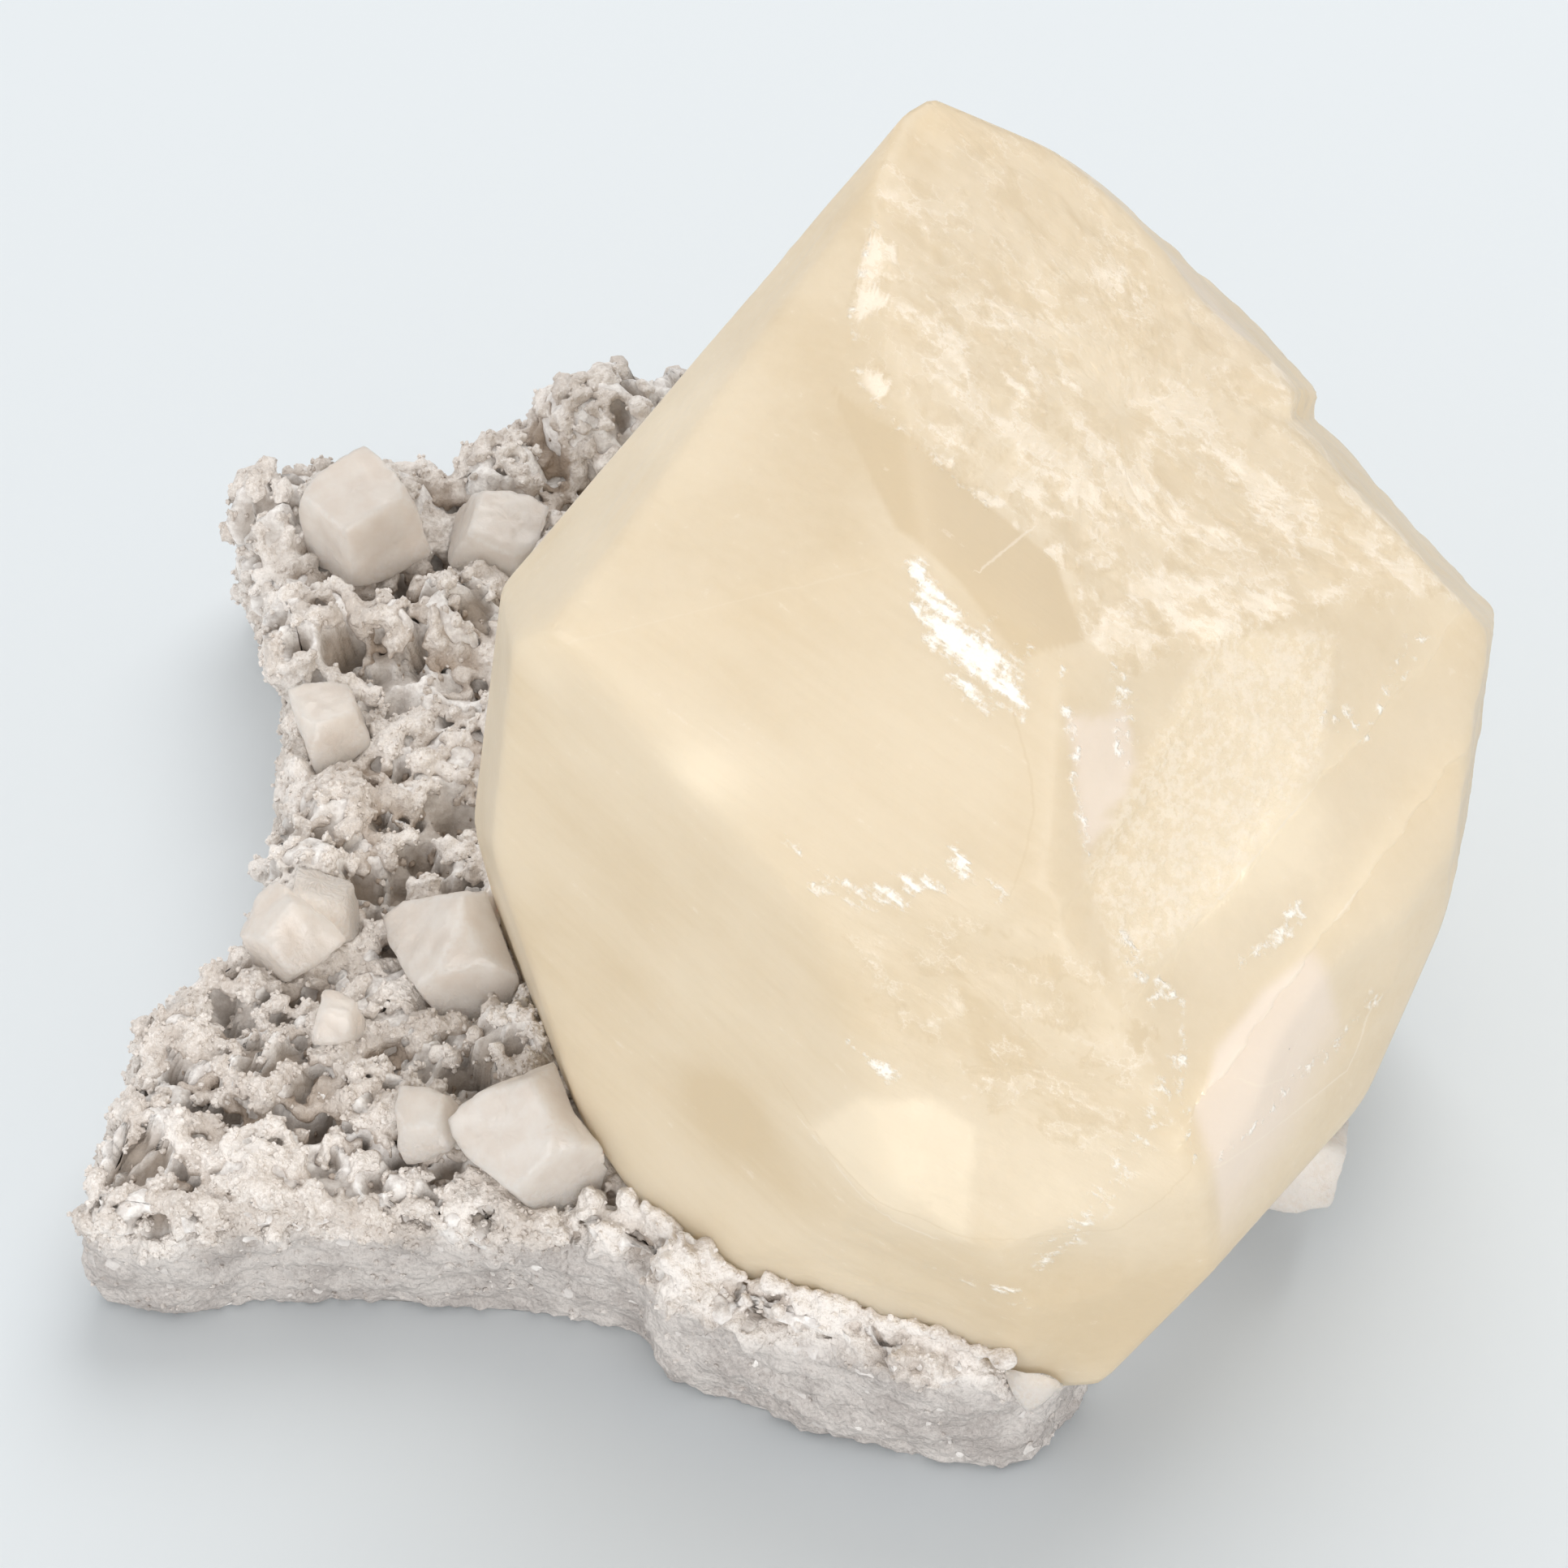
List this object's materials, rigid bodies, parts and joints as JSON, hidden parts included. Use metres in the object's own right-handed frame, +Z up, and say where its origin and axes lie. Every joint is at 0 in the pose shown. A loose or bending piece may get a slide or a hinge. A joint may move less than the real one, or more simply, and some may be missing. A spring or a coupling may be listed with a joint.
{
  "type": "yellow calcite crystal on druse matrix",
  "caption": "Natural mineral specimen: a large honey-yellow faceted calcite crystal standing on a white spongy druse slab with small colourless crystals.",
  "frame": {"origin": "on the surface that the slab rests on, under the middle of the whole specimen's outline", "axes": "+Z up, -Y towards the slab's broken front edge and the viewer, +X towards the side where the big crystal overhangs the slab"},
  "size_m": [0.078, 0.0766, 0.0571],
  "materials": {
    "calcite": "vitreous to waxy, translucent honey calcite with striated faces and a rough etched crust",
    "matrix": "matt white sugary druse over a fine-grained pale grey-lilac slab",
    "small_crystal": "vitreous, colourless to pale beige, slightly cloudy"
  },
  "bodies": {
    "root": {"matrix": "matrix", "yellow_calcite": "calcite", "crystal_back_left": "small_crystal", "crystal_back": "small_crystal", "crystal_left_edge": "small_crystal", "crystal_left_pair": "small_crystal", "crystal_beside_calcite": "small_crystal", "crystal_clear_small": "small_crystal", "crystal_front_clear": "small_crystal", "crystal_front_blocky": "small_crystal", "crystal_right_foot": "small_crystal", "crystal_front_corner": "small_crystal"}
  },
  "joints": []
}
